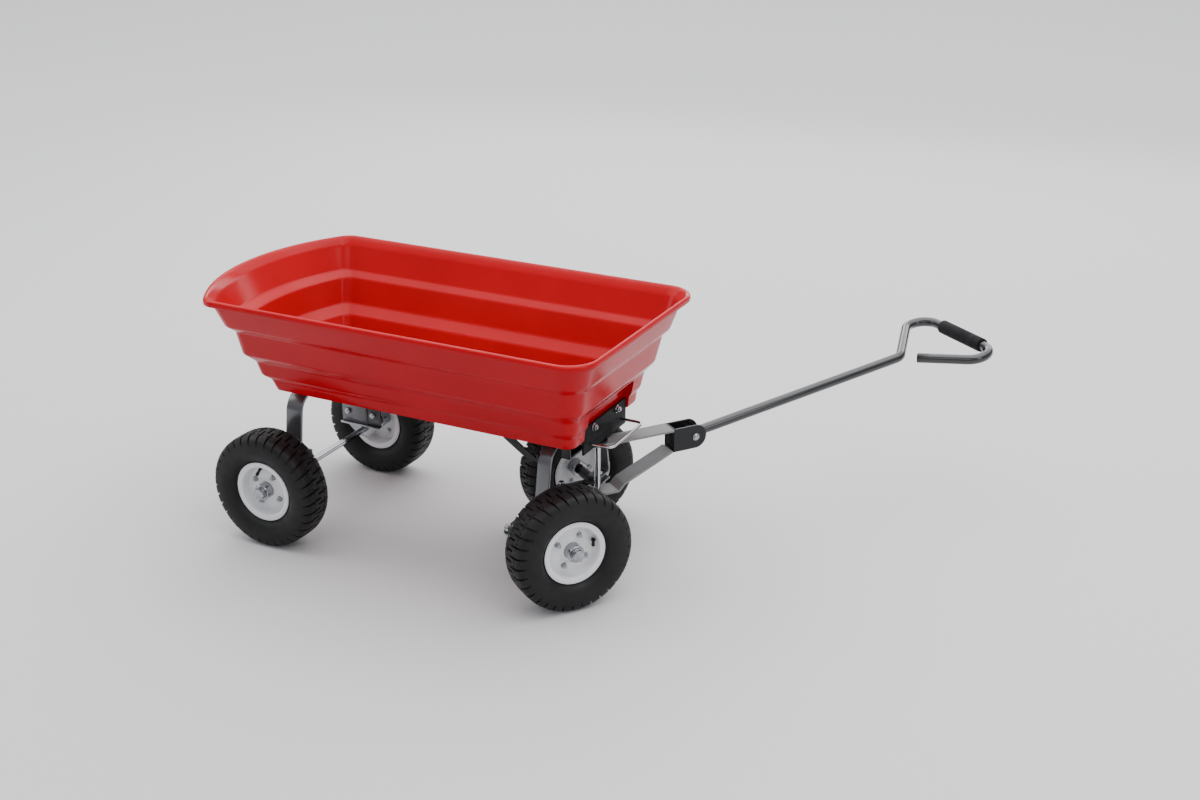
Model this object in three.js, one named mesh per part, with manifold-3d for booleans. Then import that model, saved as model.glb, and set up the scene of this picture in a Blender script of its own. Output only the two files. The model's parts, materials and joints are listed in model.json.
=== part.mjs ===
// Tipping garden cart: moulded tub hinged on a steel frame, four pneumatic wheels, front wheels
// steered by the tongue, pull handle. Millimetres, +Z up, +X towards the handle end, +Y to the
// cart's left. Working frame: x = 0 at the rear axle, y = 0 on the centre line, z = 0 on the ground.
import * as THREE from 'three';
import { mergeVertices } from 'three/addons/utils/BufferGeometryUtils.js';
import Module from 'manifold-3d';

const wasm = await Module();
wasm.setup();

// ---------- driving dimensions ----------
const GAP = 0.3; // clearance left between pieces that touch
const { degToRad, radToDeg } = THREE.MathUtils;
const STEER = degToRad(54); // front wheels and tongue stand turned to the left

const TYRE = { radius: 130, half: 43, tread: 31, shoulder: 39 };
const RIM = { lip: 68, face: 30.3, sheet: 3, bead: 58, disc: 8 };
const HUB = { radius: 18, inner: 20, outer: 36 }; // ends measured from the wheel's middle plane
const REAR_TRACK = 209; // centre line to a rear wheel's middle plane
const AXLE = { radius: 7.5, end: 52 }; // end measured out from the wheel's middle plane
const NUT = { flats: 24, height: 10 };

const WALL = 4;
const REAR_BOW = 435; // radius of the tub's bowed rear wall
// Outside of the tub, bottom to top: height, half width, front x, rear x on the centre line.
const TUB_LEVELS = [
  { z: 333, half: 156, front: 712, rear: -46 },
  { z: 358, half: 158, front: 714, rear: -58 },
  { z: 367, half: 166, front: 720, rear: -80 },
  { z: 400, half: 174, front: 726, rear: -90 },
  { z: 421, half: 197, front: 743, rear: -115 },
  { z: 478, half: 212, front: 755, rear: -126 },
  { z: 491, half: 228, front: 767, rear: -148 },
  { z: 543, half: 250, front: 783, rear: -172 },
];
// Rolled rim above the last level: height and how far it stands out from that level.
const RIM_OUTSIDE = [[545, 2], [548, 19], [556, 20], [561, 15]];
const RIM_INSIDE = [[555, 5], [562, 12]];
const POCKET = { half: 100, top: 398, front: 700 }; // flat recess behind the latch

const RAIL = { y: 80.5, width: 25, wall: 2, bottom: 310, top: 332.4, x0: -16, x1: 663.7 };
const REAR_CROSS = { x0: 16, x1: 36, bottom: 312, top: 328, wall: 2.5 };
const ARCH_TOP = RAIL.bottom - GAP;
const ARCH_BEND = 40;
const REAR_ARCH = { width: 40, thick: 8, shoulder: 111.2, foot: 132.3, footZ: 150 };
const FOOT = { half: 52, top: 196, thick: 6 };
const SADDLE = { thick: 4, top: 190, ledge: 145, boltX: 35, boltZ: 175 };
const SPACER = { radius: 13.5, end: 186 };

const KINGPIN = { x: 631.8, y: 116.3, radius: 7 };
const HOLE = KINGPIN.radius + GAP;
const FRONT_ARCH = { width: 30, thick: 6, shoulder: 116.4, knee: 145, toe: 98, footZ: 153.3 };
const BRACE = { y: 118, thick: 4, width: 14, top: 320, low: 277, run: 58 };
const BEAM = { x0: 613, x1: 655, half: 131, bottom: 92, sheet: 5, web: 96, ear: 80, top: 150 };
const LUG_Z = 136; // underside of the plate that holds the foot of the tongue pivot
const STUB = 94.8; // kingpin axis to a front wheel's middle plane

const ARM_Z = { low: 138, high: 144 }; // steering arms of the knuckles
const TIE = { arm: 88, z: ARM_Z.high + GAP, thick: 6 };
const DRAG = { arm: 50, angle: degToRad(170), z: 164.2, thick: 5 };
const PLATE_Z = { low: 157.5, high: 162.5 }; // steering arm of the tongue
const STUD = 4;

const PIVOT_X = 690;
const STRAP = { half: 22, thick: 5, lower: 173, upper: 285 };
const CROSS = { x: 664, sheet: 4, edge: 684, bottom: 291, half: 110 };
const CLEVIS = { back: 172.5, pin: 226, z: 264, half: 26.5, side: 20.6, sheet: 4 };
const PIN_RADIUS = 6;

const HANDLE_RISE = degToRad(8.4);
const TUBE = { radius: 11, wall: 2, shaft: 552, neckBend: 30 };
const LOOP = { depth: 170, flare: degToRad(48.5), bend: 41, endX: 25 };
const SLEEVE = { radius: 14, half: 16.3 };
const GRIP = { from: -78, to: 63, radius: 16 };

const HINGE = { x: -28, z: 321, radius: 5, ear: 10 };
const HINGE_STRAP = { inner: 40, outer: 62, tab: 5, sheet: 3, reach: 60 };
const LATCH = { x: 704.5, sheet: 4, bottom: 300, top: 357, half: 97, boltY: 53, boltZ: 348 };
const WIRE = { radius: 3, half: 73, z: 318, rear: 685.2, front: 760, bend: 13 };
const SPRING = { length: 16, radius: 6 };

// ---------- materials ----------
const finish = (color, roughness, metalness) => (
  () => new THREE.MeshStandardMaterial({ color, roughness, metalness })
);
const redPlastic = finish(0xb3141a, 0.25, 0);
const blackPaint = finish(0x1b1c1e, 0.3, 0.4);
const greyPaint = finish(0x8f9193, 0.35, 0.5);
const zinc = finish(0xc4c6c8, 0.35, 1);
const rubber = finish(0x17181a, 0.75, 0);
const whiteEnamel = finish(0xe6e7e8, 0.35, 0.1);
const foam = finish(0x141414, 0.95, 0);

// ---------- solids and booleans ----------
function solid(geometry) {
  const bare = geometry.index ? geometry.toNonIndexed() : geometry.clone();
  bare.deleteAttribute('normal');
  bare.deleteAttribute('uv');
  const merged = mergeVertices(bare, 1e-4);
  return new wasm.Manifold(new wasm.Mesh({
    numProp: 3,
    vertProperties: Float32Array.from(merged.attributes.position.array),
    triVerts: Uint32Array.from(merged.index.array),
  }));
}

const join = (first, ...rest) => rest.reduce((sum, next) => sum.add(next), first);
const cut = (first, ...rest) => rest.reduce((sum, next) => sum.subtract(next), first);
const mirrored = (side, shape) => (side > 0 ? shape : shape.mirror([0, 1, 0]));

function part(name, shape, material, parent) {
  const out = shape.getMesh();
  const geometry = new THREE.BufferGeometry();
  geometry.setAttribute('position', new THREE.BufferAttribute(out.vertProperties, 3));
  geometry.setIndex(new THREE.BufferAttribute(out.triVerts, 1));
  const mesh = new THREE.Mesh(geometry, material());
  mesh.name = name;
  parent.add(mesh);
  return mesh;
}

function box(x0, x1, y0, y1, z0, z1) {
  const geometry = new THREE.BoxGeometry(x1 - x0, y1 - y0, z1 - z0);
  return solid(geometry.translate((x0 + x1) / 2, (y0 + y1) / 2, (z0 + z1) / 2));
}

// Round bar along an axis from a to b; u and v are its other two coordinates in x, y, z order.
function bar(axis, u, v, a, b, radius, sides = 16) {
  const geometry = new THREE.CylinderGeometry(radius, radius, b - a, sides);
  const middle = (a + b) / 2;
  if (axis === 'x') return solid(geometry.rotateZ(-Math.PI / 2).translate(middle, u, v));
  if (axis === 'y') return solid(geometry.translate(u, middle, v));
  return solid(geometry.rotateX(Math.PI / 2).translate(u, v, middle));
}

// Shape in the plane across an axis (coordinates in x, y, z order), extruded from a to b.
function prism(axis, points, a, b) {
  const shape = new THREE.Shape(points.map(([u, v]) => new THREE.Vector2(u, v)));
  const geometry = new THREE.ExtrudeGeometry(shape, { depth: b - a, bevelEnabled: false });
  if (axis === 'z') return solid(geometry.translate(0, 0, a));
  if (axis === 'y') return solid(geometry.rotateX(Math.PI / 2).translate(0, b, 0));
  return solid(geometry.rotateX(Math.PI / 2).rotateZ(Math.PI / 2).translate(a, 0, 0));
}

// Closed section of [radius, offset] points turned about the wheel axis.
function turned(section, segments) {
  const points = section.map(([r, o]) => new THREE.Vector2(r, o));
  points.push(points[0].clone());
  return solid(new THREE.LatheGeometry(points, segments));
}

// Line through corners, each inner corner rounded by an arc of its bend radius.
function roundedLine(corners, bends, steps) {
  const line = [corners[0]];
  for (let i = 1; i < corners.length - 1; i += 1) {
    const bend = bends[i - 1];
    const into = corners[i].clone().sub(corners[i - 1]).normalize();
    const out = corners[i + 1].clone().sub(corners[i]).normalize();
    const turn = into.angleTo(out);
    const start = corners[i].clone().addScaledVector(into, -bend * Math.tan(turn / 2));
    const side = out.clone().addScaledVector(into, -into.dot(out)).normalize();
    const centre = start.clone().addScaledVector(side, bend);
    for (let k = 0; k <= steps; k += 1) {
      const angle = (turn * k) / steps;
      line.push(centre.clone()
        .addScaledVector(side, -bend * Math.cos(angle))
        .addScaledVector(into, bend * Math.sin(angle)));
    }
  }
  line.push(corners[corners.length - 1]);
  return line;
}

// Direction of a line at each of its points.
function directions(line) {
  return line.map((point, i) => {
    const before = line[Math.max(i - 1, 0)];
    const after = line[Math.min(i + 1, line.length - 1)];
    const into = point === before ? after.clone().sub(point) : point.clone().sub(before);
    const out = point === after ? into.clone() : after.clone().sub(point);
    return into.normalize().add(out.normalize()).normalize();
  });
}

// Outline of a flat bar bent along corners in a plane.
function bentStrip(corners, bends, thick, steps = 5) {
  const line = roundedLine(corners.map(([u, v]) => new THREE.Vector3(u, v, 0)), bends, steps);
  const along = directions(line);
  const shifted = (sign) => line.map((p, i) => (
    [p.x - sign * along[i].y * thick / 2, p.y + sign * along[i].x * thick / 2]));
  return shifted(1).concat(shifted(-1).reverse());
}

// Closed solid through rings of equal point count, capped by fans at both ends.
function loft(rings) {
  const count = rings[0].length;
  const positions = [];
  const triangle = (...corners) => corners.forEach((p) => positions.push(p.x, p.y, p.z));
  const middle = (ring) => ring.reduce((sum, p) => sum.add(p), new THREE.Vector3()).divideScalar(count);
  const first = rings[0];
  const last = rings[rings.length - 1];
  const low = middle(first);
  const high = middle(last);
  for (let k = 0; k < count; k += 1) {
    const next = (k + 1) % count;
    for (let j = 0; j < rings.length - 1; j += 1) {
      triangle(rings[j][k], rings[j][next], rings[j + 1][next]);
      triangle(rings[j][k], rings[j + 1][next], rings[j + 1][k]);
    }
    triangle(low, first[next], first[k]);
    triangle(high, last[k], last[next]);
  }
  const geometry = new THREE.BufferGeometry();
  geometry.setAttribute('position', new THREE.Float32BufferAttribute(positions, 3));
  return solid(geometry);
}

// Round tube or wire along a rounded line that lies in a horizontal plane.
function sweep(corners, bends, radius, sides, steps) {
  const line = roundedLine(corners, bends, steps);
  const along = directions(line);
  const up = new THREE.Vector3(0, 0, 1);
  return loft(line.map((point, i) => {
    const across = new THREE.Vector3().crossVectors(up, along[i]).normalize();
    return Array.from({ length: sides }, (_, k) => {
      const angle = (2 * Math.PI * k) / sides;
      return point.clone()
        .addScaledVector(across, radius * Math.cos(angle))
        .addScaledVector(up, radius * Math.sin(angle));
    });
  }));
}

// ---------- tub ----------
// Plan outline of one tub level: straight front and sides, bowed rear, four rounded corners.
function tubOutline({ z, half, front, rear }) {
  const spread = (half - TUB_LEVELS[0].half) / 100;
  const frontRound = 22 + 36 * spread;
  const rearRound = 20 + 19 * spread;
  const bowX = rear + REAR_BOW;
  const lean = Math.asin((half - rearRound) / (REAR_BOW - rearRound));
  const cornerX = bowX - (REAR_BOW - rearRound) * Math.cos(lean);
  const points = [];
  const arc = (cx, cy, radius, from, to, steps) => {
    for (let k = 0; k <= steps; k += 1) {
      const angle = from + ((to - from) * k) / steps;
      points.push(new THREE.Vector3(cx + radius * Math.cos(angle), cy + radius * Math.sin(angle), z));
    }
  };
  const right = Math.PI / 2;
  const bowEnd = 0.8 * lean;
  arc(front - frontRound, half - frontRound, frontRound, 0, right, 5);
  arc(cornerX, half - rearRound, rearRound, right, 2 * right - lean, 4);
  arc(bowX, 0, REAR_BOW, 2 * right - bowEnd, 2 * right + bowEnd, 8);
  arc(cornerX, rearRound - half, rearRound, 2 * right + lean, 3 * right, 4);
  arc(front - frontRound, frontRound - half, frontRound, 3 * right, 4 * right, 5);
  return points;
}

const grown = (level, by, z) => (
  { z, half: level.half + by, front: level.front + 0.8 * by, rear: level.rear - by });

function tub() {
  const [floor] = TUB_LEVELS;
  const top = TUB_LEVELS[TUB_LEVELS.length - 1];
  const rim = (section) => section.map(([z, by]) => grown(top, by, z));
  const inner = TUB_LEVELS.map((level) => grown(level, -WALL, level === floor ? level.z + WALL : level.z));
  const shell = loft(TUB_LEVELS.concat(rim(RIM_OUTSIDE)).map(tubOutline));
  const hollow = loft(inner.concat(rim(RIM_INSIDE)).map(tubOutline));
  const { half, top: pocketTop, front } = POCKET;
  const reach = front + 80;
  const pocket = box(front, reach, -half, half, floor.z - 1, pocketTop);
  const pocketWall = box(front - WALL, reach, -half - WALL, half + WALL, floor.z, pocketTop + WALL);
  const boltHoles = [-1, 1].map((side) => (
    bar('x', side * LATCH.boltY, LATCH.boltZ, front - 2 * WALL, front + WALL, STUD + 0.4, 8)));
  return cut(shell, pocket, cut(hollow, pocketWall), ...boltHoles);
}

// Strap under the tub floor with an ear that turns on the hinge pin.
function hingeStrap(side) {
  const { x, z, radius, ear } = HINGE;
  const { inner, outer, tab, sheet, reach } = HINGE_STRAP;
  const top = TUB_LEVELS[0].z - GAP;
  const plate = box(x - ear, reach, inner, outer, top - sheet, top);
  const lug = join(
    box(x - ear, x + ear, outer - tab, outer, z, top),
    bar('y', x, z, outer - tab, outer, ear, 20),
  );
  const bore = bar('y', x, z, outer - tab - 1, outer + 1, radius + GAP, 12);
  return mirrored(side, cut(join(plate, lug), bore));
}

function latchBracket() {
  const { x, sheet, bottom, top, half, boltY, boltZ } = LATCH;
  const holes = [-1, 1].flatMap((side) => [
    bar('x', side * boltY, boltZ, x - 1, x + sheet + 1, STUD + 0.4, 8),
    bar('x', side * WIRE.half, WIRE.z, x - 1, x + sheet + 1, WIRE.radius + 0.6, 8),
  ]);
  return cut(box(x, x + sheet, -half, half, bottom, top), ...holes);
}

function latchBolt(side) {
  const y = side * LATCH.boltY;
  const face = LATCH.x + LATCH.sheet + GAP;
  const inner = POCKET.front - WALL - GAP;
  const headRadius = 7;
  return join(
    bar('x', y, LATCH.boltZ, inner - 1, face + 10, STUD, 8),
    bar('x', y, LATCH.boltZ, inner - 4, inner, headRadius, 12),
    bar('x', y, LATCH.boltZ, face, face + 6, headRadius, 6),
  );
}

function releaseLoop() {
  const { half, z, front, rear, bend, radius } = WIRE;
  const corners = [[rear, -half], [front, -half], [front, half], [rear, half]]
    .map(([x, y]) => new THREE.Vector3(x, y, z));
  return sweep(corners, [bend, bend], radius, 8, 5);
}

function releaseSpring(side) {
  const y = side * WIRE.half;
  const end = LATCH.x - GAP;
  const { length, radius } = SPRING;
  const bore = bar('x', y, WIRE.z, end - length - 1, end + 1, WIRE.radius + 2 * GAP, 8);
  return cut(bar('x', y, WIRE.z, end - length, end, radius, 8), bore);
}

// ---------- frame ----------
function rail(side) {
  const { y, width, wall, bottom, top, x0, x1 } = RAIL;
  const y0 = y - width / 2;
  const y1 = y + width / 2;
  const bore = box(x0 - 1, x1 + 1, y0 + wall, y1 - wall, bottom + wall, top - wall);
  return mirrored(side, cut(box(x0, x1, y0, y1, bottom, top), bore));
}

function rearCrossmember() {
  const { x0, x1, bottom, top, wall } = REAR_CROSS;
  const end = RAIL.y - RAIL.width / 2 - GAP;
  const bore = box(x0 + wall, x1 - wall, -end - 1, end + 1, bottom + wall, top - wall);
  return cut(box(x0, x1, -end, end, bottom, top), bore);
}

const pivotHole = (z0, z1, x = PIVOT_X) => bar('z', x, 0, z0, z1, HOLE, 20);

// Channel across the front ends of the rails: its lower flange carries the head of the tongue
// pivot, and the front edge of its upper flange is what the latch pins hook under.
function frontCrossmember() {
  const { x, sheet, edge, bottom, half } = CROSS;
  const outline = [
    [x, bottom], [edge, bottom], [edge, bottom + sheet], [x + sheet, bottom + sheet],
    [x + sheet, RAIL.top - sheet], [edge, RAIL.top - sheet], [edge, RAIL.top], [x, RAIL.top],
  ];
  const tabHalf = 22;
  const tab = join(
    box(x, PIVOT_X, -tabHalf, tabHalf, bottom, bottom + sheet),
    bar('z', PIVOT_X, 0, bottom, bottom + sheet, tabHalf, 20),
  );
  const ends = [-1, 1].map((side) => mirrored(side, box(x, edge, half - sheet, half, bottom, RAIL.top)));
  const channel = join(prism('y', outline, -half, half), tab, ...ends);
  return cut(channel, pivotHole(bottom - 1, bottom + sheet + 1));
}

// Lug on a rail's inner face that carries one end of the tub's hinge pin.
function hingeLug(side) {
  const { x, z, radius, ear } = HINGE;
  const outer = RAIL.y - RAIL.width / 2 - GAP;
  const inner = outer - 5;
  const lug = join(box(x, 12, inner, outer, z - ear, z + 8), bar('y', x, z, inner, outer, ear, 20));
  return mirrored(side, cut(lug, bar('y', x, z, inner - 1, outer + 1, radius + GAP, 12)));
}

function hingePin() {
  const { x, z, radius } = HINGE;
  const face = RAIL.y - RAIL.width / 2;
  return join(
    bar('y', x, z, -face - 7, face + 7, radius, 12),
    bar('y', x, z, face, face + 4, radius + 3, 12),
    bar('y', x, z, -face - 4, -face, radius + 3, 12),
  );
}

// Flat bar bent into an arch over the rear axle, with a wide plate at each foot.
function rearArch() {
  const { width, thick, shoulder, foot, footZ } = REAR_ARCH;
  const z = ARCH_TOP - thick / 2;
  const outline = bentStrip([[-foot, footZ], [-shoulder, z], [shoulder, z], [foot, footZ]],
    [ARCH_BEND, ARCH_BEND], thick);
  const outer = foot + FOOT.thick / 2;
  const sides = [-1, 1];
  const plates = sides.map((side) => (
    mirrored(side, box(-FOOT.half, FOOT.half, outer - FOOT.thick, outer, footZ, FOOT.top))));
  const trims = sides.flatMap((side) => [
    mirrored(side, box(-FOOT.half, FOOT.half, outer, outer + thick, footZ - thick, FOOT.top + 60)),
    mirrored(side, box(-FOOT.half, FOOT.half, foot - 20, foot + 20, footZ - thick, footZ)),
  ]);
  const holes = [-1, 1].map((end) => bar('y', end * SADDLE.boltX, SADDLE.boltZ, -200, 200, STUD + GAP, 8));
  return cut(join(prism('x', outline, -width / 2, width / 2), ...plates), ...trims, ...holes);
}

// Pressed bracket that hangs the rear axle under one foot of the arch, with its spacer boss.
function axleSaddle(side) {
  const { thick, top, ledge, boltX, boltZ } = SADDLE;
  const face = REAR_ARCH.foot + FOOT.thick / 2 + GAP;
  const outline = [
    [-50, top], [-50, ledge], [-20, 120], [-10, 113], [10, 113], [20, 120], [50, ledge], [50, top],
  ];
  const shape = join(
    prism('y', outline, face, face + thick),
    box(-FOOT.half, FOOT.half, face - 15, face + thick, ledge, ledge + thick),
    bar('y', 0, TYRE.radius, face, SPACER.end, SPACER.radius, 18),
  );
  const hole = (end) => bar('y', end * boltX, boltZ, face - 1, face + thick + 1, STUD + GAP, 8);
  const bore = bar('y', 0, TYRE.radius, face - 1, SPACER.end + 1, AXLE.radius + GAP, 20);
  return mirrored(side, cut(shape, bore, hole(-1), hole(1)));
}

function saddleBolt(side, end) {
  const inner = REAR_ARCH.foot - FOOT.thick / 2 - GAP;
  const outer = inner + FOOT.thick + 3 * GAP + SADDLE.thick;
  const x = end * SADDLE.boltX;
  return mirrored(side, join(
    bar('y', x, SADDLE.boltZ, inner - 7, outer + 1, STUD, 8),
    bar('y', x, SADDLE.boltZ, inner - 5, inner, 7, 6),
    bar('y', x, SADDLE.boltZ, outer, outer + 5, 7.5, 6),
  ));
}

// Second arch over the front wheels; its feet turn inwards and sit on the front beam.
function frontArch() {
  const { width, thick, shoulder, knee, toe, footZ } = FRONT_ARCH;
  const z = ARCH_TOP - thick / 2;
  const half = [[shoulder, z], [knee, footZ], [toe, footZ]];
  const outline = bentStrip([...half.map(([y, h]) => [-y, h]).reverse(), ...half],
    [8, ARCH_BEND, ARCH_BEND, 8], thick);
  const holes = [-1, 1].map((side) => bar('z', KINGPIN.x, side * KINGPIN.y, 140, 170, HOLE, 12));
  return cut(prism('x', outline, KINGPIN.x - width / 2, KINGPIN.x + width / 2), ...holes);
}

// Sloping flat bar from an outrigger on the rail down to the rear face of the front arch.
function frontBrace(side) {
  const { y, thick, width, top, low, run } = BRACE;
  const face = KINGPIN.x - FRONT_ARCH.width / 2 - GAP;
  const slope = Math.atan2(top - low, run);
  const along = width / Math.sin(slope);
  const outline = [
    [face - run - along, top], [face - run - along, top - thick], [face - along, low],
    [face, low], [face, low + thick], [face - run, top],
  ];
  const inner = RAIL.y + RAIL.width / 2 + GAP;
  const outrigger = box(face - run - along, face - run, inner, y + thick, top - thick, top);
  const lowTab = box(face - thick, face, y - 10, y + thick, low, low + 18);
  return mirrored(side, join(prism('y', outline, y, y + thick), outrigger, lowTab));
}

// Channel across the front: the knuckles stand between its flange and its ears, and a lug on its
// web carries the foot of the tongue pivot.
function frontBeam() {
  const { x0, x1, half, bottom, sheet, web, ear, top } = BEAM;
  const upper = (side) => mirrored(side, join(
    box(x0, x1, ear, half, top - sheet, top),
    box(x1 - sheet, x1, ear, web, bottom, top),
  ));
  const lugTop = LUG_Z + 6;
  const lugHalf = 18;
  const body = join(
    box(x0, x1, -half, half, bottom, bottom + sheet),
    box(x1 - sheet, x1, -web, web, bottom, lugTop),
    upper(1), upper(-1),
    box(x1 - sheet, PIVOT_X, -lugHalf, lugHalf, LUG_Z, lugTop),
    bar('z', PIVOT_X, 0, LUG_Z, lugTop, lugHalf, 20),
  );
  const holes = [-1, 1].map((side) => bar('z', KINGPIN.x, side * KINGPIN.y, bottom - 1, top + 1, HOLE, 12));
  return cut(body, pivotHole(LUG_Z - 1, lugTop + 1), ...holes);
}

function kingpin(side) {
  const y = side * KINGPIN.y;
  const head = FRONT_ARCH.footZ + FRONT_ARCH.thick / 2 + GAP;
  const nut = BEAM.bottom - GAP;
  return join(
    bar('z', KINGPIN.x, y, nut - 10, head + 1, KINGPIN.radius, 12),
    bar('z', KINGPIN.x, y, head, head + 7, 11, 6),
    bar('z', KINGPIN.x, y, nut - 8, nut, 11, 6),
  );
}

function tonguePivotBolt() {
  const head = CROSS.bottom + CROSS.sheet + GAP;
  const nut = LUG_Z - GAP;
  return join(
    bar('z', PIVOT_X, 0, nut - 11, head + 1, KINGPIN.radius, 20),
    bar('z', PIVOT_X, 0, head, head + 7, 11, 6),
    bar('z', PIVOT_X, 0, nut - 9, nut, 11, 6),
  );
}

// ---------- wheels ----------
function tyre() {
  const { radius, half, tread, shoulder } = TYRE;
  const bead = RIM.face - RIM.sheet - GAP;
  const bore = RIM.bead + GAP;
  const outer = [[bore, bead], [RIM.lip + 0.5, bead], [76, 37], [88, 42], [99, half], [114, shoulder + 2],
    [125, shoulder - 2], [radius, tread]];
  return turned(outer.map(([r, o]) => [r, -o]).concat([...outer].reverse()), 32);
}

// Pressed rim: barrel with turned-out lips and a dished disc that meets the hub.
function rim() {
  const { lip, face, sheet, bead, disc } = RIM;
  const inner = bead - sheet;
  return turned([
    [HUB.radius + GAP, disc], [inner, disc - 4], [inner, -face], [lip, -face], [lip, sheet - face],
    [bead, sheet - face], [bead, face - sheet], [lip, face - sheet], [lip, face], [inner, face],
    [inner, disc + 2], [HUB.radius + GAP, disc + 4],
  ], 28);
}

function hub() {
  const bore = AXLE.radius + GAP;
  const { radius, inner, outer } = HUB;
  return turned([[bore, -inner], [radius, -inner], [radius, outer], [bore, outer]], 18);
}

function axleNut() {
  const y0 = HUB.outer + 0.5;
  const y1 = y0 + NUT.height;
  const bore = bar('y', 0, 0, y0 - 1, y1 + 1, AXLE.radius + GAP, 20);
  return cut(bar('y', 0, 0, y0, y1, NUT.flats / Math.sqrt(3), 6), bore);
}

// One wheel about the Y axis of its parent, its outside facing +Y for side 1 and -Y for side -1.
function wheel(name, side, y, parent) {
  const group = new THREE.Group();
  group.position.set(0, side * y, TYRE.radius);
  group.rotation.z = side > 0 ? 0 : Math.PI;
  parent.add(group);
  part(`tyre_${name}`, tyre(), rubber, group);
  part(`rim_${name}`, rim(), whiteEnamel, group);
  part(`hub_${name}`, hub(), zinc, group);
  part(`axle_nut_${name}`, axleNut(), zinc, group);
}

// ---------- steering ----------
// Flat arm from an axis at the origin to a round end at a given length and direction.
function arm(length, angle, half, z0, z1) {
  const shape = join(box(0, length, -half, half, z0, z1), bar('z', length, 0, z0, z1, half));
  return shape.rotate([0, 0, radToDeg(angle)]);
}

const polar = (length, angle) => [length * Math.cos(angle), length * Math.sin(angle)];

// Knuckle about its kingpin: vertical tube, stub axle out to the wheel, arm back to the tie rod.
// The right one has a second arm whose stud takes the drag link.
function knuckle(side) {
  const low = BEAM.bottom + BEAM.sheet + 1;
  const tubeRadius = 14;
  const { low: z0, high: z1 } = ARM_Z;
  const stub = mirrored(side, join(
    bar('y', 0, TYRE.radius, 0, STUB + AXLE.end, AXLE.radius, 20),
    bar('y', 0, TYRE.radius, 0, STUB - HUB.inner - GAP, 12, 20),
  ));
  const tieStud = bar('z', ...polar(TIE.arm, Math.PI), z0 - 6, TIE.z + TIE.thick + 3, STUD, 8);
  const pieces = [bar('z', 0, 0, low, z1, tubeRadius, 18), stub, arm(TIE.arm, Math.PI, 9, z0, z1), tieStud];
  if (side < 0) {
    const end = polar(DRAG.arm, DRAG.angle);
    pieces.push(
      arm(DRAG.arm, DRAG.angle, 8, z0, z1),
      bar('z', ...end, z1 - 1, DRAG.z - 0.5, STUD + 1, 8),
      bar('z', ...end, z1, DRAG.z + DRAG.thick + 1.5, STUD, 8),
    );
  }
  return cut(join(...pieces), bar('z', 0, 0, low - 1, z1 + 1, KINGPIN.radius + 0.4, 20));
}

// Flat link between two eyes; the second is an open pivot, with more clearance round its stud.
function link(from, to, half, z, thick) {
  const [dx, dy] = [to[0] - from[0], to[1] - from[1]];
  const length = Math.hypot(dx, dy);
  const shape = join(
    box(0, length, -half, half, 0, thick),
    bar('z', 0, 0, 0, thick, half + 2, 20),
    bar('z', length, 0, 0, thick, half + 2, 20),
  );
  const nearEye = bar('z', 0, 0, -1, thick + 1, STUD + GAP, 10);
  const openEye = bar('z', length, 0, -1, thick + 1, STUD + 1, 10);
  return cut(shape, nearEye, openEye)
    .rotate([0, 0, radToDeg(Math.atan2(dy, dx))])
    .translate([from[0], from[1], z]);
}

function tieRod() {
  const [dx, dy] = polar(TIE.arm, Math.PI + STEER);
  const eye = (side) => [KINGPIN.x + dx, side * KINGPIN.y + dy];
  return link(eye(1), eye(-1), 6, TIE.z, TIE.thick);
}

function dragLink() {
  const [dx, dy] = polar(DRAG.arm, DRAG.angle + STEER);
  return link([PIVOT_X + dx, dy], [KINGPIN.x + dx, dy - KINGPIN.y], 6, DRAG.z, DRAG.thick);
}

// ---------- tongue, in a frame at its pivot with +X along it ----------
function steeringArm() {
  const { low, high } = PLATE_Z;
  const boss = bar('z', 0, 0, LUG_Z + 6.5, STRAP.lower - GAP, 14, 18);
  const stud = bar('z', ...polar(DRAG.arm, DRAG.angle), low - 2, DRAG.z + DRAG.thick + 1.5, STUD, 8);
  return cut(join(boss, arm(DRAG.arm, DRAG.angle, 9, low, high), stud), pivotHole(100, 200, 0));
}

function lowerStrap() {
  const { half, thick, lower } = STRAP;
  const z = lower + thick / 2;
  const end = CLEVIS.z - CLEVIS.half + thick / 2;
  const outline = bentStrip([[0, z], [41, z], [54, z + 14], [CLEVIS.back - 3, end]], [6, 10], thick);
  const strap = join(prism('y', outline, -half, half), bar('z', 0, 0, lower, lower + thick, half, 20));
  return cut(strap, pivotHole(lower - 1, lower + thick + 1, 0));
}

function upperStrap() {
  const { half, thick, upper } = STRAP;
  const plate = box(0, CLEVIS.back - GAP, -half, half, upper, upper + thick);
  const strap = join(plate, bar('z', 0, 0, upper, upper + thick, half, 20));
  return cut(strap, pivotHole(upper - 1, upper + thick + 1, 0));
}

function clevis() {
  const { back, pin, z, half, side, sheet } = CLEVIS;
  const cheek = (y) => join(
    box(back, pin, y, y + sheet, z - half, z + half),
    bar('y', pin, z, y, y + sheet, half, 20),
  );
  const plate = box(back, back + sheet, -side, side, z - half, z + half);
  const hole = bar('y', pin, z, -side - 1, side + 1, PIN_RADIUS + GAP, 12);
  return cut(join(cheek(side - sheet), cheek(-side), plate), hole);
}

function clevisPin() {
  const { pin, z, side } = CLEVIS;
  const face = side + GAP;
  const domes = [-1, 1].map((sign) => mirrored(sign, join(
    bar('y', pin, z, face, face + 2.5, 8, 20),
    bar('y', pin, z, face + 2, face + 6, 6.5, 12),
  )));
  return join(bar('y', pin, z, -face - 1, face + 1, PIN_RADIUS, 12), ...domes);
}

// ---------- handle, in a frame at the clevis pin with +X along its shaft ----------
function handleSleeve() {
  const { radius, half } = SLEEVE;
  const bore = bar('y', 0, 0, -half - 1, half + 1, PIN_RADIUS + GAP, 12);
  return cut(bar('y', 0, 0, -half, half, radius, 20), bore);
}

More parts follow.
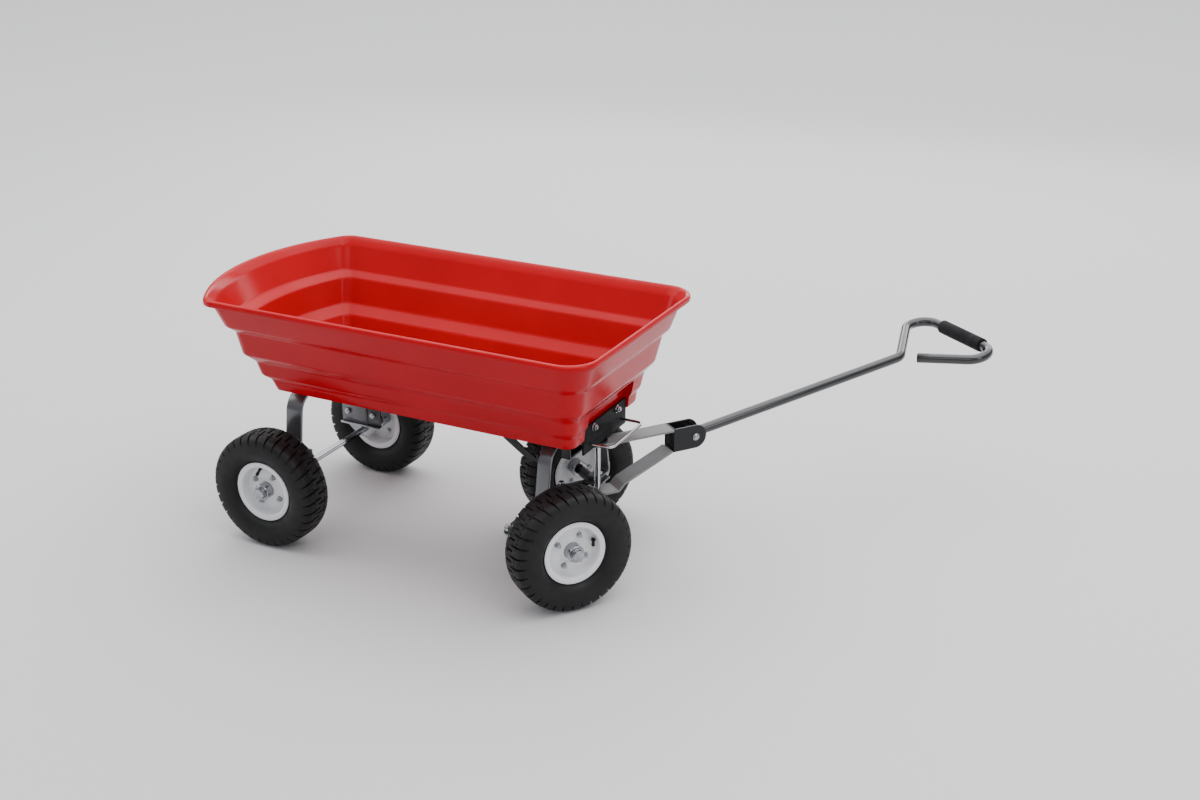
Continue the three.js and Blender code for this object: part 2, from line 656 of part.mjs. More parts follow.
// Straight shaft, then a triangular loop that ends free, short of the neck. The tube is closed
// at the sleeve and open at its free end.
function handleTube() {
  const { radius, wall, shaft, neckBend } = TUBE;
  const { depth, flare, bend, endX } = LOOP;
  const reach = depth * Math.tan(flare);
  const run = (startX, lastX, r) => sweep([
    [startX, 0], [shaft, 0], [shaft + depth, reach], [shaft + depth, -reach],
    [shaft + lastX, -lastX * Math.tan(flare) - 3],
  ].map(([x, y]) => new THREE.Vector3(x, y, 0)), [neckBend, bend, bend], r, 12, 6);
  const start = SLEEVE.radius + GAP;
  return cut(run(start, endX, radius), run(start + wall, endX - 1, radius - wall));
}

function handleGrip() {
  const x = TUBE.shaft + LOOP.depth;
  const { from, to, radius } = GRIP;
  const bore = bar('y', x, 0, from - 1, to + 1, TUBE.radius + GAP, 18);
  return cut(bar('y', x, 0, from, to, radius, 18), bore);
}

// ---------- assembly ----------
const cart = new THREE.Group();
cart.name = 'garden_cart';
const SIDES = [['left', 1], ['right', -1]];

part('tub', tub(), redPlastic, cart);
part('latch_bracket', latchBracket(), blackPaint, cart);
part('release_loop', releaseLoop(), zinc, cart);
part('rear_crossmember', rearCrossmember(), blackPaint, cart);
part('front_crossmember', frontCrossmember(), blackPaint, cart);
part('hinge_pin', hingePin(), zinc, cart);
part('rear_axle_bracket', rearArch(), blackPaint, cart);
part('front_axle_bracket', frontArch(), blackPaint, cart);
const axleEnd = REAR_TRACK + AXLE.end;
part('rear_axle', bar('y', 0, TYRE.radius, -axleEnd, axleEnd, AXLE.radius), zinc, cart);
part('front_beam', frontBeam(), blackPaint, cart);
part('tongue_pivot_bolt', tonguePivotBolt(), zinc, cart);
part('tie_rod', tieRod(), zinc, cart);
part('drag_link', dragLink(), zinc, cart);

for (const [name, side] of SIDES) {
  part(`hinge_strap_${name}`, hingeStrap(side), zinc, cart);
  part(`latch_bolt_${name}`, latchBolt(side), zinc, cart);
  part(`release_spring_${name}`, releaseSpring(side), zinc, cart);
  part(`rail_${name}`, rail(side), blackPaint, cart);
  part(`hinge_lug_${name}`, hingeLug(side), blackPaint, cart);
  part(`axle_saddle_${name}`, axleSaddle(side), zinc, cart);
  part(`saddle_bolt_${name}_rear`, saddleBolt(side, -1), zinc, cart);
  part(`saddle_bolt_${name}_front`, saddleBolt(side, 1), zinc, cart);
  part(`front_brace_${name}`, frontBrace(side), blackPaint, cart);
  part(`kingpin_${name}`, kingpin(side), zinc, cart);
  wheel(`rear_${name}`, side, REAR_TRACK, cart);

  const steered = new THREE.Group();
  steered.position.set(KINGPIN.x, side * KINGPIN.y, 0);
  steered.rotation.z = STEER;
  cart.add(steered);
  part(`knuckle_${name}`, knuckle(side), blackPaint, steered);
  wheel(`front_${name}`, side, STUB, steered);
}

const tongue = new THREE.Group();
tongue.position.set(PIVOT_X, 0, 0);
tongue.rotation.z = STEER;
cart.add(tongue);
part('steering_arm', steeringArm(), blackPaint, tongue);
part('tongue_strap_lower', lowerStrap(), greyPaint, tongue);
part('tongue_strap_upper', upperStrap(), greyPaint, tongue);
part('clevis', clevis(), blackPaint, tongue);
part('clevis_pin', clevisPin(), zinc, tongue);

const handle = new THREE.Group();
handle.position.set(CLEVIS.pin, 0, CLEVIS.z);
handle.rotation.y = -HANDLE_RISE;
tongue.add(handle);
part('handle_sleeve', handleSleeve(), blackPaint, handle);
part('handle_tube', handleTube(), blackPaint, handle);
part('handle_grip', handleGrip(), foam, handle);

// The finished cart stands with the middle of its bounding box's base at the origin.
cart.updateMatrixWorld(true);
const bounds = new THREE.Box3().setFromObject(cart, true);
const centre = bounds.getCenter(new THREE.Vector3());
cart.position.set(-centre.x, -centre.y, -bounds.min.z);
cart.updateMatrixWorld(true);

export default cart;
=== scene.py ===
"""Looks of the tipping garden cart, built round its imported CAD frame. Lengths inside the mesh code
are millimetres in the cart's working frame (x = 0 at the rear axle, y = 0 on the centre line)."""
import json
import math

import bmesh
import bpy
from mathutils import Matrix, Vector

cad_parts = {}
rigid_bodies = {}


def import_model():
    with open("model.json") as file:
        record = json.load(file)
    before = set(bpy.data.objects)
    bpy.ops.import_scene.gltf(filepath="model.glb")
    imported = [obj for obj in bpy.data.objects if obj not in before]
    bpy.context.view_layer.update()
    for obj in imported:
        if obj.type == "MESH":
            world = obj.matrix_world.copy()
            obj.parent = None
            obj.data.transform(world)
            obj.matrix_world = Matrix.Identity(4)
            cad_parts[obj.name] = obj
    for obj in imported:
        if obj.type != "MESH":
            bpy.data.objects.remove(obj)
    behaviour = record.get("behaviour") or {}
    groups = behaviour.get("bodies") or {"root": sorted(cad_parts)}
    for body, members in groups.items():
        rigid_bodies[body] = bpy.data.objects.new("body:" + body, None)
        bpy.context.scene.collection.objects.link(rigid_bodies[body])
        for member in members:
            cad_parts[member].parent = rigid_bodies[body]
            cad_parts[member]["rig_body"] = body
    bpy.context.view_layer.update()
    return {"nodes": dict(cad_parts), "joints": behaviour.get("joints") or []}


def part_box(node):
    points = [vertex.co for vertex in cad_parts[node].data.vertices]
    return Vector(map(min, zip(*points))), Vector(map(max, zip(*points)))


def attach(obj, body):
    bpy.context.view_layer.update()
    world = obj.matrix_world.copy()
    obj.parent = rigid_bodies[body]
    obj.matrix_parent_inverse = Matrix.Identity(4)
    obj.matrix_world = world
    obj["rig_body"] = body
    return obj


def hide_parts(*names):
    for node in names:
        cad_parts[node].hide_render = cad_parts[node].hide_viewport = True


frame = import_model()

MM = 0.001
SIDES = (("left", 1), ("right", -1))


# ---------- where things are, read from the frame ----------
def middle(node):
    lo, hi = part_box(node)
    return (lo + hi) / 2


ORIGIN = Vector((middle("rear_axle").x, middle("rear_axle").y, 0))
CART = Matrix.Translation(ORIGIN) @ Matrix.Scale(MM, 4)
JOINTS = {j["name"]: j for j in frame["joints"]}


def local(point):
    """A row-frame point in metres as working-frame millimetres."""
    return (Vector(point) - ORIGIN) / MM


def turned_frame(x, y, z, yaw, pitch=0.0):
    return (CART @ Matrix.Translation((x, y, z)) @ Matrix.Rotation(yaw, 4, "Z")
            @ Matrix.Rotation(pitch, 4, "Y"))


SPIN = JOINTS["wheel_front_left_spin"]["axis"]
STEER = math.atan2(-SPIN[0], SPIN[1])
PIVOT = local(middle("tongue_pivot_bolt"))
TONGUE = turned_frame(PIVOT.x, 0, 0, STEER)
PIN = local(JOINTS["handle_pitch"]["pos_m"])
GRIP_MID = local(middle("handle_grip"))
PITCH = math.atan2(GRIP_MID.z - PIN.z, math.hypot(GRIP_MID.x - PIN.x, GRIP_MID.y - PIN.y))
HANDLE = turned_frame(PIN.x, PIN.y, PIN.z, STEER, -PITCH)
KINGPIN = {name: local(middle(f"kingpin_{name}")) for name, _ in SIDES}
KNUCKLE = {name: turned_frame(KINGPIN[name].x, KINGPIN[name].y, 0, STEER) for name, _ in SIDES}
WHEELS = {}
for end in ("rear", "front"):
    for name, side in SIDES:
        hub = local(middle(f"hub_{end}_{name}"))
        yaw = STEER if end == "front" else 0.0
        WHEELS[f"{end}_{name}"] = turned_frame(hub.x, hub.y, hub.z, yaw if side > 0 else yaw + math.pi)


# ---------- materials ----------
def shader(name, color, roughness, metallic=0.0, specular=0.5, coat=0.0):
    mat = bpy.data.materials.new(name)
    mat.use_nodes = True
    bsdf = mat.node_tree.nodes["Principled BSDF"]
    bsdf.inputs["Base Color"].default_value = (*color, 1)
    bsdf.inputs["Roughness"].default_value = roughness
    bsdf.inputs["Metallic"].default_value = metallic
    bsdf.inputs["Specular IOR Level"].default_value = specular
    bsdf.inputs["Coat Weight"].default_value = coat
    bsdf.inputs["Coat Roughness"].default_value = 0.08
    return mat, mat.node_tree, bsdf


def noise(tree, scale, detail=4.0, rough=0.55, stretch=None):
    coords = tree.nodes.new("ShaderNodeTexCoord")
    tex = tree.nodes.new("ShaderNodeTexNoise")
    tex.inputs["Scale"].default_value = scale
    tex.inputs["Detail"].default_value = detail
    tex.inputs["Roughness"].default_value = rough
    if stretch:
        mapping = tree.nodes.new("ShaderNodeMapping")
        mapping.inputs["Scale"].default_value = stretch
        tree.links.new(coords.outputs["Object"], mapping.inputs["Vector"])
        tree.links.new(mapping.outputs["Vector"], tex.inputs["Vector"])
    else:
        tree.links.new(coords.outputs["Object"], tex.inputs["Vector"])
    return tex.outputs["Fac"]


def span(tree, value, low, high, start=0.3, end=0.7):
    node = tree.nodes.new("ShaderNodeMapRange")
    node.inputs["From Min"].default_value = start
    node.inputs["From Max"].default_value = end
    node.inputs["To Min"].default_value = low
    node.inputs["To Max"].default_value = high
    tree.links.new(value, node.inputs["Value"])
    return node.outputs["Result"]


def tint(tree, value, first, second, start=0.35, end=0.65):
    ramp = tree.nodes.new("ShaderNodeValToRGB")
    ramp.color_ramp.elements[0].position = start
    ramp.color_ramp.elements[0].color = (*first, 1)
    ramp.color_ramp.elements[1].position = end
    ramp.color_ramp.elements[1].color = (*second, 1)
    tree.links.new(value, ramp.inputs["Fac"])
    return ramp.outputs["Color"]


def bump(tree, bsdf, layers):
    """Stacks bump layers of (height output, strength, distance)."""
    last = None
    for height, strength, distance in layers:
        node = tree.nodes.new("ShaderNodeBump")
        node.inputs["Strength"].default_value = strength
        node.inputs["Distance"].default_value = distance
        tree.links.new(height, node.inputs["Height"])
        if last:
            tree.links.new(last, node.inputs["Normal"])
        last = node.outputs["Normal"]
    tree.links.new(last, bsdf.inputs["Normal"])


def painted(name, light, dark, roughness, coat=0.0, metallic=0.0, peel=0.05, specular=0.5, wear=0.1):
    """Glossy paint or moulded plastic: faint tone drift, uneven gloss, orange peel."""
    mat, tree, bsdf = shader(name, light, roughness, metallic, specular, coat)
    tree.links.new(tint(tree, noise(tree, 6), dark, light), bsdf.inputs["Base Color"])
    gloss = span(tree, noise(tree, 38, 4), roughness * (1 - wear), roughness * (1 + wear))
    tree.links.new(gloss, bsdf.inputs["Roughness"])
    bump(tree, bsdf, [(noise(tree, 90, 1), peel, 0.0003), (noise(tree, 7, 1), peel, 0.002)])
    return mat


def plated(name, light, dark, roughness, stretch=(1, 1, 1)):
    """Zinc or bright steel: mottled crystals and fine draw marks."""
    mat, tree, bsdf = shader(name, light, roughness, 1.0)
    tree.links.new(tint(tree, noise(tree, 55, 5), dark, light), bsdf.inputs["Base Color"])
    gloss = span(tree, noise(tree, 120, 4), roughness * 0.7, roughness * 1.5)
    tree.links.new(gloss, bsdf.inputs["Roughness"])
    bump(tree, bsdf, [(noise(tree, 500, 3, 0.6, stretch), 0.06, 0.0003)])
    return mat


def rubbery(name, light, dark, roughness, grain):
    """Rubber or foam: matt, dusty patches, fine pores."""
    mat, tree, bsdf = shader(name, light, roughness, 0.0, 0.25)
    tree.links.new(tint(tree, noise(tree, 12, 6), dark, light), bsdf.inputs["Base Color"])
    tree.links.new(span(tree, noise(tree, 60, 5), roughness * 0.85, min(roughness * 1.2, 1.0)),
                   bsdf.inputs["Roughness"])
    bump(tree, bsdf, [(noise(tree, grain, 4), 0.25, 0.0005), (noise(tree, grain / 8, 3), 0.1, 0.001)])
    return mat


RED = painted("red_polypropylene", (0.46, 0.0, 0.007), (0.42, 0.0, 0.006), 0.17,
              peel=0.004, specular=0.16, wear=0.06)
BLACK = painted("black_paint", (0.01, 0.0105, 0.012), (0.006, 0.0065, 0.008), 0.25,
                coat=0.1, peel=0.015, specular=0.25)
SATIN = painted("satin_black_bracket", (0.004, 0.0042, 0.005), (0.003, 0.0031, 0.004), 0.55,
                peel=0.015, specular=0.12)
TUBE = painted("charcoal_tube_paint", (0.016, 0.0165, 0.018), (0.011, 0.0115, 0.013), 0.2, coat=0.4)
GUNMETAL = painted("gunmetal_arch", (0.16, 0.163, 0.17), (0.14, 0.143, 0.15), 0.24, metallic=0.7, peel=0.02)
GREY = painted("grey_strap_paint", (0.21, 0.213, 0.217), (0.19, 0.193, 0.197), 0.45,
               metallic=0.1, specular=0.35, peel=0.02)
ZINC = plated("zinc_plate", (0.4, 0.41, 0.43), (0.33, 0.34, 0.36), 0.18)
CHROME = plated("bright_rod", (0.56, 0.57, 0.59), (0.48, 0.49, 0.51), 0.07, (1, 0.02, 1))
ENAMEL = painted("white_enamel", (0.8, 0.8, 0.81), (0.74, 0.74, 0.76), 0.22, coat=0.3, peel=0.04)
RUBBER = rubbery("tyre_rubber", (0.012, 0.012, 0.0125), (0.007, 0.007, 0.0075), 0.5, 420)
STEM = rubbery("valve_rubber", (0.012, 0.012, 0.012), (0.008, 0.008, 0.008), 0.5, 600)
FOAM = rubbery("foam_grip", (0.014, 0.014, 0.015), (0.006, 0.006, 0.007), 0.88, 900)


# ---------- mesh helpers ----------
def shade(bm, angle):
    bmesh.ops.recalc_face_normals(bm, faces=bm.faces)
    for face in bm.faces:
        face.smooth = True
    for edge in bm.edges:
        edge.smooth = len(edge.link_faces) != 2 or edge.calc_face_angle() < math.radians(angle)


def piece(name, bm, matrix, material, body, replaces=(), angle=38):
    """Turns a bmesh in millimetres into a shown piece that rides on a CAD body."""
    shade(bm, angle)
    data = bpy.data.meshes.new(name)
    bm.to_mesh(data)
    bm.free()
    data.transform(matrix)
    data.materials.append(material)
    obj = bpy.data.objects.new(name, data)
    bpy.context.scene.collection.objects.link(obj)
    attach(obj, body)
    if replaces:
        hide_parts(*replaces)
    return obj


def rings_to(bm, rings, cap=True, close=False):
    """Skins rings of equal length; close joins the last ring to the first."""
    made = [[bm.verts.new(p) for p in ring] for ring in rings]
    count = len(made[0])
    pairs = list(zip(made, made[1:])) + ([(made[-1], made[0])] if close else [])
    for a, b in pairs:
        for k in range(count):
            n = (k + 1) % count
            bm.faces.new((a[k], a[n], b[n], b[k]))
    if cap and not close:
        bm.faces.new(made[0][::-1])
        bm.faces.new(made[-1])
    return bm


def lathe(section, segments, bm=None, closed=True, axis="Y", shift=(0, 0, 0)):
    """Turns [radius, offset] points about an axis; closed joins the section's ends."""
    bm = bm or bmesh.new()
    rings = []
    for r, o in section:
        ring = []
        for k in range(segments):
            a = 2 * math.pi * k / segments
            c, s = r * math.cos(a), r * math.sin(a)
            p = {"Y": (c, o, s), "X": (o, c, s), "Z": (c, s, o)}[axis]
            ring.append(Vector(p) + Vector(shift))
        rings.append(ring)
    return rings_to(bm, rings, cap=not closed, close=closed)


def rod(bm, axis, shift, a, b, radius, segments=32, chamfer=0.6):
    """Solid round bar from a to b along an axis through shift, with chamfered ends."""
    c = min(chamfer, radius * 0.4, abs(b - a) * 0.4)
    return lathe([(radius - c, a), (radius, a + c), (radius, b - c), (radius - c, b)],
                 segments, bm, False, axis, shift)


def hexagon(bm, axis, shift, a, b, flats):
    """Hexagonal nut or bolt head with its corners turned down at the outer face b."""
    rings = []
    corner = flats / math.sqrt(3)
    inner = flats / 2 * 0.96
    steps = 6
    height = b - a
    for z, limit in ((a, corner), (a + 0.02 * height, corner), (b - 0.14 * height, corner), (b, inner)):
        ring = []
        for k in range(6 * steps):
            angle = 2 * math.pi * k / (6 * steps)
            flat = (flats / 2) / math.cos((angle % (math.pi / 3)) - math.pi / 6)
            r = min(flat, limit)
            c, s = r * math.cos(angle), r * math.sin(angle)
            p = {"Y": (c, z, s), "X": (z, c, s), "Z": (c, s, z)}[axis]
            ring.append(Vector(p) + Vector(shift))
        rings.append(ring)
    return rings_to(bm, rings)


def rounded(corners, bends, steps):
    """Line through corners with each inner one rounded by its bend radius."""
    pts = [Vector(c) for c in corners]
    line = [pts[0]]
    for i in range(1, len(pts) - 1):
        into = (pts[i] - pts[i - 1]).normalized()
        out = (pts[i + 1] - pts[i]).normalized()
        turn = into.angle(out)
        start = pts[i] - into * bends[i - 1] * math.tan(turn / 2)
        side = (out - into * into.dot(out)).normalized()
        centre = start + side * bends[i - 1]
        for k in range(steps + 1):
            a = turn * k / steps
            line.append(centre - side * bends[i - 1] * math.cos(a) + into * bends[i - 1] * math.sin(a))
    line.append(pts[-1])
    return line


def headings(line):
    out = []
    for i, p in enumerate(line):
        before = line[max(i - 1, 0)]
        after = line[min(i + 1, len(line) - 1)]
        first = (p - before) if i else (after - p)
        second = (after - p) if i < len(line) - 1 else first
        out.append((first.normalized() + second.normalized()).normalized())
    return out


def sweep(bm, line, profile, flat):
    """Sweeps a closed 2-D profile (across flat, along flat) down a line that lies in a plane
    whose normal is flat."""
    rings = []
    flat = Vector(flat)
    for p, along in zip(line, headings(line)):
        across = flat.cross(along).normalized()
        rings.append([p + across * u + flat * v for u, v in profile])
    return rings_to(bm, rings)


def circle(radius, count):
    return [(radius * math.cos(2 * math.pi * k / count), radius * math.sin(2 * math.pi * k / count))
            for k in range(count)]


def round_rect(wide, high, radius, steps=3):
    pts = []
    for cx, cy, start in ((1, 1, 0), (-1, 1, 90), (-1, -1, 180), (1, -1, 270)):
        for k in range(steps + 1):
            a = math.radians(start + 90 * k / steps)
            pts.append((cx * (wide / 2 - radius) + radius * math.cos(a),
                        cy * (high / 2 - radius) + radius * math.sin(a)))
    return pts


def block(bm, lo, hi, edge=0.8):
    """Box with rounded edges."""
    new = bmesh.ops.create_cube(bm, size=1)["verts"]
    lo, hi = Vector(lo), Vector(hi)
    for v in new:
        v.co = Vector([(lo[i] + hi[i]) / 2 + v.co[i] * (hi[i] - lo[i]) for i in range(3)])
    edges = {e for v in new for e in v.link_edges}
    bmesh.ops.bevel(bm, geom=list(edges), offset=edge, segments=2, profile=0.5, affect="EDGES",
                    clamp_overlap=True)
    return bm


def plate(bm, outline, a, b, axis, edge=0.7):
    """Flat outline extruded from a to b along an axis, with softened rims."""
    def at(u, v, w):
        return {"X": (w, u, v), "Y": (u, w, v), "Z": (u, v, w)}[axis]
    count = len(outline)
    centre = (sum(p[0] for p in outline) / count, sum(p[1] for p in outline) / count)
    normals = []
    for i in range(count):
        p0, p1 = Vector(outline[i - 1]), Vector(outline[(i + 1) % count])
        t = (p1 - p0).normalized()
        n = Vector((t.y, -t.x))
        if n.dot(Vector(outline[i]) - Vector(centre)) < 0:
            n = -n
        normals.append(n)
    rings = []
    for w, inset in ((a, edge), (a + edge, 0), (b - edge, 0), (b, edge)):
        rings.append([Vector(at(p[0] - n.x * inset, p[1] - n.y * inset, w))
                      for p, n in zip(outline, normals)])
    return rings_to(bm, rings)


def refined(node, name, material, bevel=0.8, angle=28):
    """The CAD node's own shape with its sharp edges rounded, standing in for the node."""
    source = frame["nodes"][node]
    bm = bmesh.new()
    bm.from_mesh(source.data)
    bmesh.ops.remove_doubles(bm, verts=bm.verts, dist=2e-6)
    bmesh.ops.dissolve_limit(bm, angle_limit=math.radians(0.6), verts=bm.verts, edges=bm.edges)
    sharp = [e for e in bm.edges if len(e.link_faces) == 2 and e.calc_face_angle() > math.radians(angle)]
    bmesh.ops.bevel(bm, geom=sharp, offset=bevel * MM, segments=2, profile=0.6, affect="EDGES",
                    clamp_overlap=True)
    return piece(name, bm, Matrix.Identity(4), material, source["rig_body"], [node])


# ---------- tub ----------
WALL = 4.0
REAR_BOW = 435.0
# height, half width, front and rear of the tub's outer wall, from the foot to the rim
LEVELS = [(333, 156, 712, -46), (358, 158, 714, -58), (367, 166, 720, -80), (400, 174, 726, -90),
          (421, 197, 743, -115), (478, 212, 755, -126), (491, 228, 767, -148), (543, 250, 783, -172)]
POCKET = {"half": 100, "top": 398, "front": 700}


def tub_ring(level, pocket):
    """Closed outline of the tub at one level, with the latch pocket pressed into its front."""
    z, half, front, rear = level
    spread = (half - LEVELS[0][1]) / 100
    front_round, rear_round = 22 + 36 * spread, 20 + 19 * spread
    bow = rear + REAR_BOW
    lean = math.asin((half - rear_round) / (REAR_BOW - rear_round))
    corner = bow - (REAR_BOW - rear_round) * math.cos(lean)
    pts = []

    def arc(cx, cy, r, a, b, steps, skip=0):
        for k in range(skip, steps + 1 - skip):
            t = a + (b - a) * k / steps
            pts.append([cx + r * math.cos(t), cy + r * math.sin(t)])
    q = math.pi / 2
    arc(front - front_round, half - front_round, front_round, 0, q, 14)
    arc(corner, half - rear_round, rear_round, q, 2 * q - lean, 12)
    arc(bow, 0, REAR_BOW, 2 * q - lean, 2 * q + lean, 40, 1)
    arc(corner, rear_round - half, rear_round, 2 * q + lean, 3 * q, 12)
    arc(front - front_round, front_round - half, front_round, 3 * q, 4 * q, 14)
    side, top, back = pocket
    depth = 0 if z >= top + 1 else 1 if z <= top else top + 1 - z
    edges = [0.3 * (half - front_round) + 0.7 * (side + 2)]
    edges += [side + 1.6, side + 0.7, side - 0.2, side - 1.2, 60, 30]
    for y in [-e for e in edges] + [0] + edges[::-1]:
        inside = min(max((side + 0.7 - abs(y)) / 0.9, 0), 1)
        pts.append([front + (min(back, front) - front) * inside * depth, y])
    return [Vector((x, y, z)) for x, y in pts]


def eased(pts, reach=4.0, steps=4):
    """Profile through levels with every inner corner rounded."""
    out = [pts[0]]
    for i in range(1, len(pts) - 1):
        a, b = pts[i - 1] - pts[i], pts[i + 1] - pts[i]
        da = math.hypot(a[0], a[1])
        db = math.hypot(b[0], b[1])
        start = pts[i] + a * min(reach / da, 0.45)
        end = pts[i] + b * min(reach / db, 0.45)
        for k in range(steps + 1):
            t = k / steps
            out.append(start * (1 - t) ** 2 + pts[i] * 2 * t * (1 - t) + end * t * t)
    out.append(pts[-1])
    return out


def grown(level, by, z=None):
    """A level moved outwards, and to another height where z is given."""
    return Vector((level[0] if z is None else z, level[1] + by, level[2] + 0.8 * by, level[3] - by))


def build_tub():
    top = LEVELS[-1]
    foot = LEVELS[0]
    outer = [grown(foot, -5, 333), grown(foot, -1.4, 334.2), grown(foot, 0, 338)]
    outer += eased([grown(foot, 0, 338)] + [grown(lv, 0) for lv in LEVELS[1:]] + [grown(top, 4, 552)])[1:]
    lip = [(556.2, 7), (557.6, 11), (557.4, 15), (554.5, 16.8), (549.2, 17), (548, 17.8),
           (547.6, 18.6), (548, 19.6), (549.2, 20.2), (555, 20.2), (558.4, 19.2), (560.4, 17),
           (561, 14), (560.4, 11.2), (558.4, 8.6)]
    outer += [grown(top, by, z) for z, by in lip]
    inner = eased([grown(top, 5.5, 555)] + [grown(lv, -WALL) for lv in LEVELS[:0:-1]]
                  + [grown(foot, -WALL, 343)])
    inner += [grown(foot, -5.6, 339), grown(foot, -9.5, 337)]
    p = POCKET
    walls = []
    for levels, pocket in ((outer, (p["half"], p["top"], p["front"])),
                           (inner, (p["half"] + WALL, p["top"] + WALL, p["front"] - WALL))):
        # two close rings give the pocket a crisp upper edge
        edge_z = pocket[1]
        out = []
        for a, b in zip(levels, levels[1:]):
            out.append(a)
            cuts = [z for z in (edge_z, edge_z + 1) if min(a[0], b[0]) < z < max(a[0], b[0])]
            for z in sorted(cuts, reverse=b[0] < a[0]):
                out.append(a + (b - a) * ((z - a[0]) / (b[0] - a[0])))
        out.append(levels[-1])
        walls.append([tub_ring(tuple(lv), pocket) for lv in out])
    bm = rings_to(bmesh.new(), walls[0] + walls[1])
    return piece("tub_shell", bm, CART, RED, "tub", ["tub"], angle=50)


build_tub()


# ---------- wheels ----------
LUGS = 35
GROOVE_DEPTH = 5.5
DASH_DEPTH = 3.2
NICK_DEPTH = 3.0
# half the tread, from its middle, and then the sidewall: offset along the axle, radius
TYRE_SECTION = [(0, 130), (12, 130), (22, 129.6), (29, 128.4), (34, 126), (37.6, 122.5), (40, 118),
                (41.6, 112), (42.6, 105)]
SIDEWALL = [(43, 99), (42.6, 93), (41.4, 87), (39.2, 81), (36.6, 77.2), (33.4, 74.4), (30.8, 72.6),
            (28.6, 71.4), (27.5, 69.4), (27.2, 66), (27, 60.5)]


def tyre_mesh():
    # places round one lug's share of the tread; the inner half's groove is at its start and
    # the outer half's at its middle, so the two halves alternate
    steps = [(-0.065, "inner"), (0.065, "inner"), (0.095, ""), (0.13, ""), (0.2, ""), (0.3, ""),
             (0.37, ""), (0.405, ""), (0.435, "outer"), (0.565, "outer"), (0.595, ""), (0.63, ""),
             (0.7, ""), (0.8, ""), (0.87, ""), (0.905, "")]
    half = TYRE_SECTION
    rows = []  # offset, radius, share from the centre (0) to the last groove (1)
    dash = (0.24, 0.262, 0.29, 0.312)  # shares where a short dash starts, is deep and ends
    lengths = [0.0]
    for a, b in zip(half, half[1:]):
        lengths.append(lengths[-1] + math.hypot(b[0] - a[0], b[1] - a[1]))
    total = lengths[-1]
    shares = sorted({0.0, 0.04, 0.08, 0.15, *dash, 0.38, 0.46, 0.54, 0.6, 0.66, 0.72, 0.78, 0.84,
                     0.9, 0.95, 1.0})
    for share in shares:
        at = share * total
        i = max(k for k in range(len(lengths) - 1) if lengths[k] <= at + 1e-9)
        t = (at - lengths[i]) / (lengths[i + 1] - lengths[i])
        offset, radius = (half[i][k] * (1 - t) + half[i + 1][k] * t for k in (0, 1))
        rows.append((offset, radius, share))
    wall = [(o, r, 2.0) for o, r in SIDEWALL]
    profile = [(-o, r, -s) for o, r, s in reversed(wall)] + [(-o, r, -s) for o, r, s in reversed(rows[1:])]
    profile += rows + wall
    rings = []
    for o, r, s in profile:
        ring = []
        share = min(abs(s), 1.0)
        slant = 0.9 * share ** 1.5 * (1 if s > 0 else -1)
        for lug in range(LUGS):
            for p, kind in steps:
                depth = 0.0
                fade = max(0.0, 1 - max(0.0, (share - 0.6) / 0.3) ** 1.5)
                if abs(s) <= 1:
                    if (kind == "inner" and s < -0.03) or (kind == "outer" and s > 0.03):
                        depth = GROOVE_DEPTH * fade
                    if dash[1] - 1e-6 <= share <= dash[2] + 1e-6 and (0.19 <= p <= 0.31 or 0.69 <= p <= 0.81):
                        depth = max(depth, DASH_DEPTH)
                    if share <= 0.041 and kind:
                        depth = max(depth, NICK_DEPTH)
                a = 2 * math.pi * (lug + p + slant * 0.5) / LUGS
                normal_o = 0.0 if share < 0.6 else (share - 0.6) / 0.4 * 0.8 * (1 if s > 0 else -1)
                rr, oo = r - depth * (1 - 0.5 * abs(normal_o)), o - depth * normal_o
                ring.append(Vector((rr * math.cos(a), oo, rr * math.sin(a))))
        rings.append(ring)
    return rings_to(bmesh.new(), rings, cap=False, close=True)


# radius, offset along the axle
RIM_SECTION = [(18.4, 15.2), (21, 15.4), (23.6, 14.8), (25, 13.2), (27.5, 12.3), (33, 12), (39, 11.2),
               (45, 9.4), (49.4, 8.8), (52, 10.4), (53.4, 13.4), (54.2, 18), (54.8, 24), (55.4, 27.4),
               (56.8, 29.4), (59, 30.3), (66.2, 30.3), (67.7, 29.9), (68.2, 28.8), (67.6, 27.6),
               (66, 27.4), (59.6, 27.2), (58, 26), (57.4, 18), (56, 0), (57.4, -18), (58, -26),
               (59.6, -27.2), (66, -27.4), (67.6, -27.6), (68.2, -28.8), (67.7, -29.9), (66.2, -30.3),
               (59, -30.3), (56.6, -29), (55.4, -26), (54.6, -16), (53.4, 2), (51, 4.6), (46, 5.8),
               (38, 8), (27, 8.8), (18.4, 9)]
HUB_SECTION = [(7.9, -20), (16.8, -20), (18, -18.8), (18, 34.8), (16.8, 36), (7.9, 36)]
BOLT_CIRCLE = 35.5
# angle of each wheel's first bolt, in degrees
BOLT_TURN = {"rear_left": 20, "rear_right": 30, "front_left": 75, "front_right": 120}


def helix_ribs(bm, axis, shift, a, b, radius, pitch, depth, segments=28):
    """Threaded rod end: rings whose radius follows the thread."""
    count = max(int((b - a) / pitch * 4), 4)
    section = [(radius - 1.2, a), (radius - depth, a + 0.8)]
    for i in range(count + 1):
        dip = depth * (0.5 + 0.5 * math.cos(i * math.pi / 2))
        section.append((radius - dip, a + 0.8 + (b - a - 1.6) * i / count))
    section += [(radius - depth, b - 0.7), (radius - 1.4, b)]
    return lathe(section, segments, bm, False, axis, shift)


